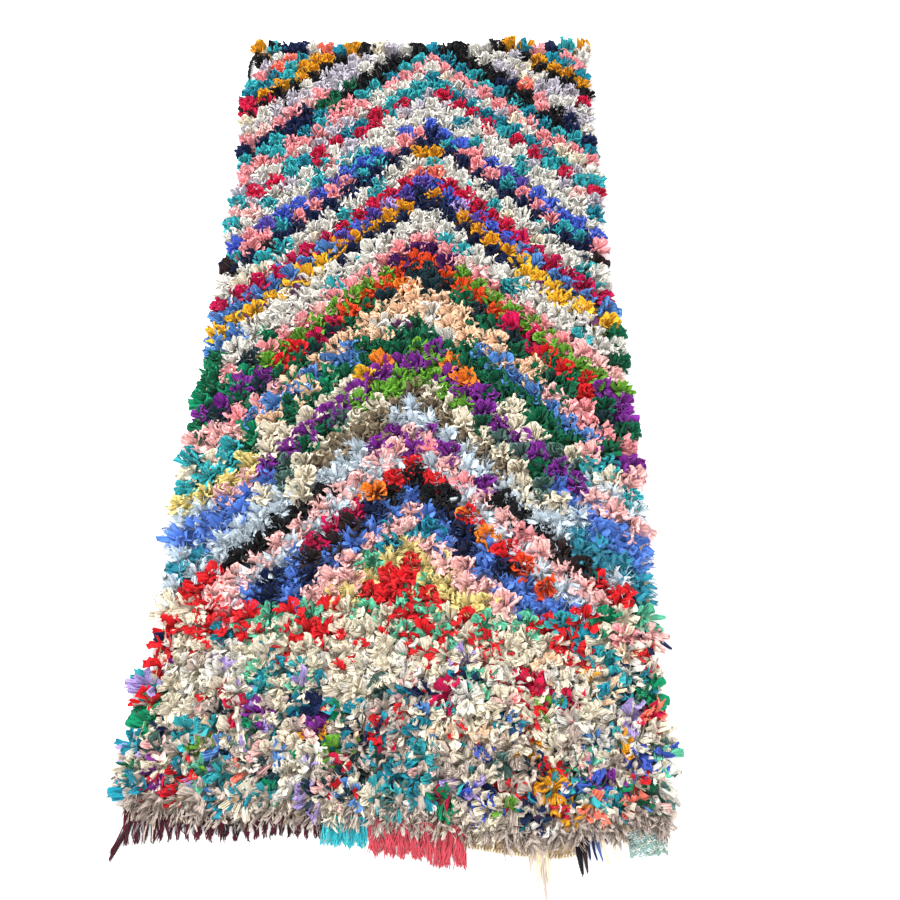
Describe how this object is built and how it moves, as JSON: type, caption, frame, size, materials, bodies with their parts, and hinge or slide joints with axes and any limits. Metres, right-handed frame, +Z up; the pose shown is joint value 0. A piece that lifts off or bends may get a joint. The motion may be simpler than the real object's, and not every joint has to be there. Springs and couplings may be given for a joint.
{
  "type": "boucherouite rug",
  "caption": "Hand-knotted rag rug with a shaggy pile of cut cloth and yarn, laid flat, with short fringes and woven ends along its near edge.",
  "frame": {"origin": "on the surface that the rug lies on, under the middle of its box, fringes included", "axes": "+X to the right seen from the fringed near end, +Y along the rug to its far end, +Z up out of the pile"},
  "size_m": [0.9732, 2.1408, 0.036],
  "materials": {
    "pile_rags": "crumpled cotton, jersey and wool rags in many colours, matte",
    "maroon_yarn": "twisted yarn, matte",
    "turquoise_yarn": "twisted yarn, matte",
    "coral_yarn": "twisted yarn, matte",
    "beige_cotton": "woven cotton, matte",
    "dark_yarn": "twisted yarn, matte",
    "cream_thread": "thin cotton thread, matte",
    "green_weave": "flat-woven yarn, matte"
  },
  "bodies": {
    "root": {"pile_field": "pile_rags", "maroon_fringe": "maroon_yarn", "turquoise_fringe": "turquoise_yarn", "coral_fringe": "coral_yarn", "beige_edge": "beige_cotton", "dark_tassel": "dark_yarn", "cream_ends": "cream_thread", "green_header": "green_weave"}
  },
  "joints": []
}
